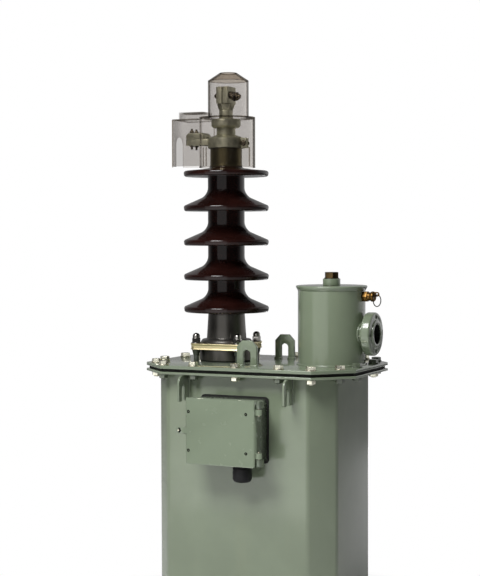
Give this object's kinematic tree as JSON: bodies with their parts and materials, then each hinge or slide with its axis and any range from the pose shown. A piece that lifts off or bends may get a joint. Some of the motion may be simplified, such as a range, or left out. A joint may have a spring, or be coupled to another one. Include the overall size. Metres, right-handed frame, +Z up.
{
  "type": "combined instrument transformer",
  "caption": "Oil-filled tank on feet with a ribbed bushing and covered primary terminals, a turret with a side outlet, lifting lugs and a terminal box with a hinged lid.",
  "frame": {"origin": "on the floor under the centre of the tank, in the middle of the foot bolts", "axes": "+Z up, +X along the tank's front towards the turret's side outlet, -Y towards the terminal box"},
  "size_m": [0.5245, 0.426, 1.258],
  "materials": {
    "green_paint": "gloss enamel over steel",
    "green_casting": "gloss enamel over cast aluminium",
    "gasket_rubber": "matt",
    "porcelain": "dark brown glazed porcelain",
    "brass": "cast brass, dulled",
    "zinc_steel": "zinc plated",
    "dark_steel": "dark cast steel",
    "tinned_metal": "tinned",
    "smoky_plastic": "smoky clear plastic",
    "bronze": "dark bronze",
    "black_plastic": "satin",
    "board_resin": "laminated resin board"
  },
  "bodies": {
    "housing": {"box_gasket": "gasket_rubber", "bushing_gasket": "gasket_rubber", "bushing_porcelain": "porcelain", "cable_gland": "black_plastic", "clamp_cones": "dark_steel", "clamp_ring": "brass", "clamp_studs": "green_paint", "cover_gasket": "gasket_rubber", "cover_plate": "green_paint", "filler_plug": "bronze", "foot_back": "green_paint", "foot_front": "green_paint", "gland_nut": "black_plastic", "head_cap": "smoky_plastic", "head_collar": "tinned_metal", "head_disc": "tinned_metal", "head_hood": "smoky_plastic", "head_neck": "tinned_metal", "head_stem": "tinned_metal", "hinge_pins": "zinc_steel", "hook_back_left": "green_paint", "hook_back_right": "green_paint", "hook_front_left": "green_paint", "hook_front_right": "green_paint", "lifting_lug_back": "green_paint", "lifting_lug_front": "green_paint", "outlet_flange": "green_paint", "outlet_neck": "green_paint", "pull_ring": "zinc_steel", "relief_valve": "brass", "side_terminal_base": "tinned_metal", "side_terminal_cap": "tinned_metal", "tank_bottom": "green_paint", "tank_flange": "green_paint", "tank_wall": "green_paint", "terminal_board": "board_resin", "terminal_box": "green_casting", "terminal_studs": "brass", "top_jaw_left": "tinned_metal", "top_jaw_right": "tinned_metal", "turret_boss": "green_paint", "turret_lid": "green_paint", "turret_shell": "green_paint"},
    "lid": {"box_lid": "green_casting"}
  },
  "joints": [
    {"name": "lid_hinge", "type": "hinge", "parent": "housing", "child": "lid", "pos_m": [0.0785, -0.219, 0.4655], "axis": [0, 0, 1], "range_deg": [0, 110]}
  ]
}
